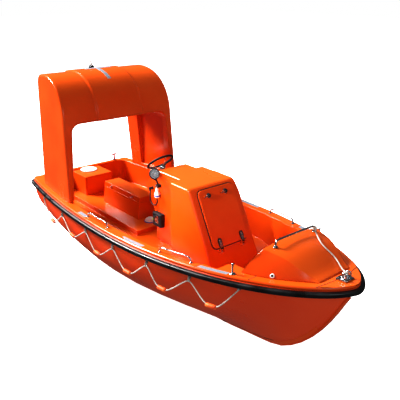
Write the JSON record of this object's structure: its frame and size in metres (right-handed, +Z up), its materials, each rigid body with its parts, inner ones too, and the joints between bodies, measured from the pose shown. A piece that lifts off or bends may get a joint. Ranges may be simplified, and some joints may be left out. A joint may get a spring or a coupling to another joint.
{
  "type": "open rescue boat",
  "caption": "Open rescue boat: rigid orange hull with black fender, self-righting arch aft, engine casing, steering console, bow hood, and grab lines with floats.",
  "frame": {"origin": "on the centreline, under the transom, at the height of the waterline", "axes": "+X runs forward to the bow, +Y to port, +Z up"},
  "size_m": [5.054, 2.0194, 2.867],
  "materials": {
    "hull_gelcoat": "brick orange-red gelcoat on glass laminate, glossy",
    "deck_gelcoat": "bright safety orange gelcoat on glass laminate, glossy",
    "black_rubber": "extruded black fender rubber, satin",
    "stainless_steel": "polished stainless tube and castings",
    "cast_bronze": "cast manganese bronze, machined faces",
    "white_nylon": "white moulded nylon fittings",
    "black_plastic": "black moulded plastic, fine grain",
    "white_rope": "white laid synthetic rope with orange foam floats",
    "engine_paint": "grey engine enamel",
    "clear_lens": "clear moulded lens over a dark lamp base"
  },
  "bodies": {
    "boat": {"hull": "hull_gelcoat", "deck_liner": "deck_gelcoat", "rubber_fender": "black_rubber", "keel_band": "hull_gelcoat", "skeg": "hull_gelcoat", "righting_arch": "deck_gelcoat", "arch_beacon": "clear_lens", "stern_locker": "deck_gelcoat", "stern_hatch": "white_nylon", "engine_casing": "deck_gelcoat", "engine_block": "engine_paint", "console": "deck_gelcoat", "wheel_column": "stainless_steel", "searchlight": "stainless_steel", "cable_plug": "white_nylon", "lamp_cable": "black_rubber", "cable_gland": "black_plastic", "control_box": "black_plastic", "floor_vent": "white_nylon", "bow_hood": "deck_gelcoat", "hood_rail": "stainless_steel", "bow_bitt": "stainless_steel", "painter_rope": "white_rope", "transom_pin": "stainless_steel", "hood_drain_starboard": "white_nylon", "aft_rail_starboard": "stainless_steel", "fore_rail_starboard": "stainless_steel", "crutch_post_starboard": "stainless_steel", "grab_line_starboard": "white_rope", "hood_drain_port": "white_nylon", "aft_rail_port": "stainless_steel", "fore_rail_port": "stainless_steel", "crutch_post_port": "stainless_steel", "grab_line_port": "white_rope"},
    "helm": {"steering_wheel": "black_plastic"},
    "steering_blade": {"rudder": "hull_gelcoat"},
    "screw": {"propeller": "cast_bronze"},
    "front_door": {"console_door": "deck_gelcoat"},
    "casing_lid": {"engine_lid": "deck_gelcoat"}
  },
  "joints": [
    {"name": "steering_wheel_turn", "type": "hinge", "parent": "boat", "child": "helm", "pos_m": [2.05, 0, 1.31], "axis": [-0.642, 0, 0.7667], "range_deg": [-540, 540]},
    {"name": "rudder_turn", "type": "hinge", "parent": "boat", "child": "steering_blade", "pos_m": [0.11, 0, 0], "axis": [0, 0, 1], "range_deg": [-35, 35]},
    {"name": "propeller_spin", "type": "hinge", "parent": "boat", "child": "screw", "pos_m": [0.316, 0, -0.322], "axis": [1, 0, 0], "continuous": true},
    {"name": "console_door_swing", "type": "hinge", "parent": "boat", "child": "front_door", "pos_m": [3.37035, 0, 0.68402], "axis": [0, 1, 0], "range_deg": [0, 110]},
    {"name": "engine_lid_swing", "type": "hinge", "parent": "boat", "child": "casing_lid", "pos_m": [1.32, 0.141, 0.708], "axis": [-1, 0, 0], "range_deg": [0, 100]}
  ]
}
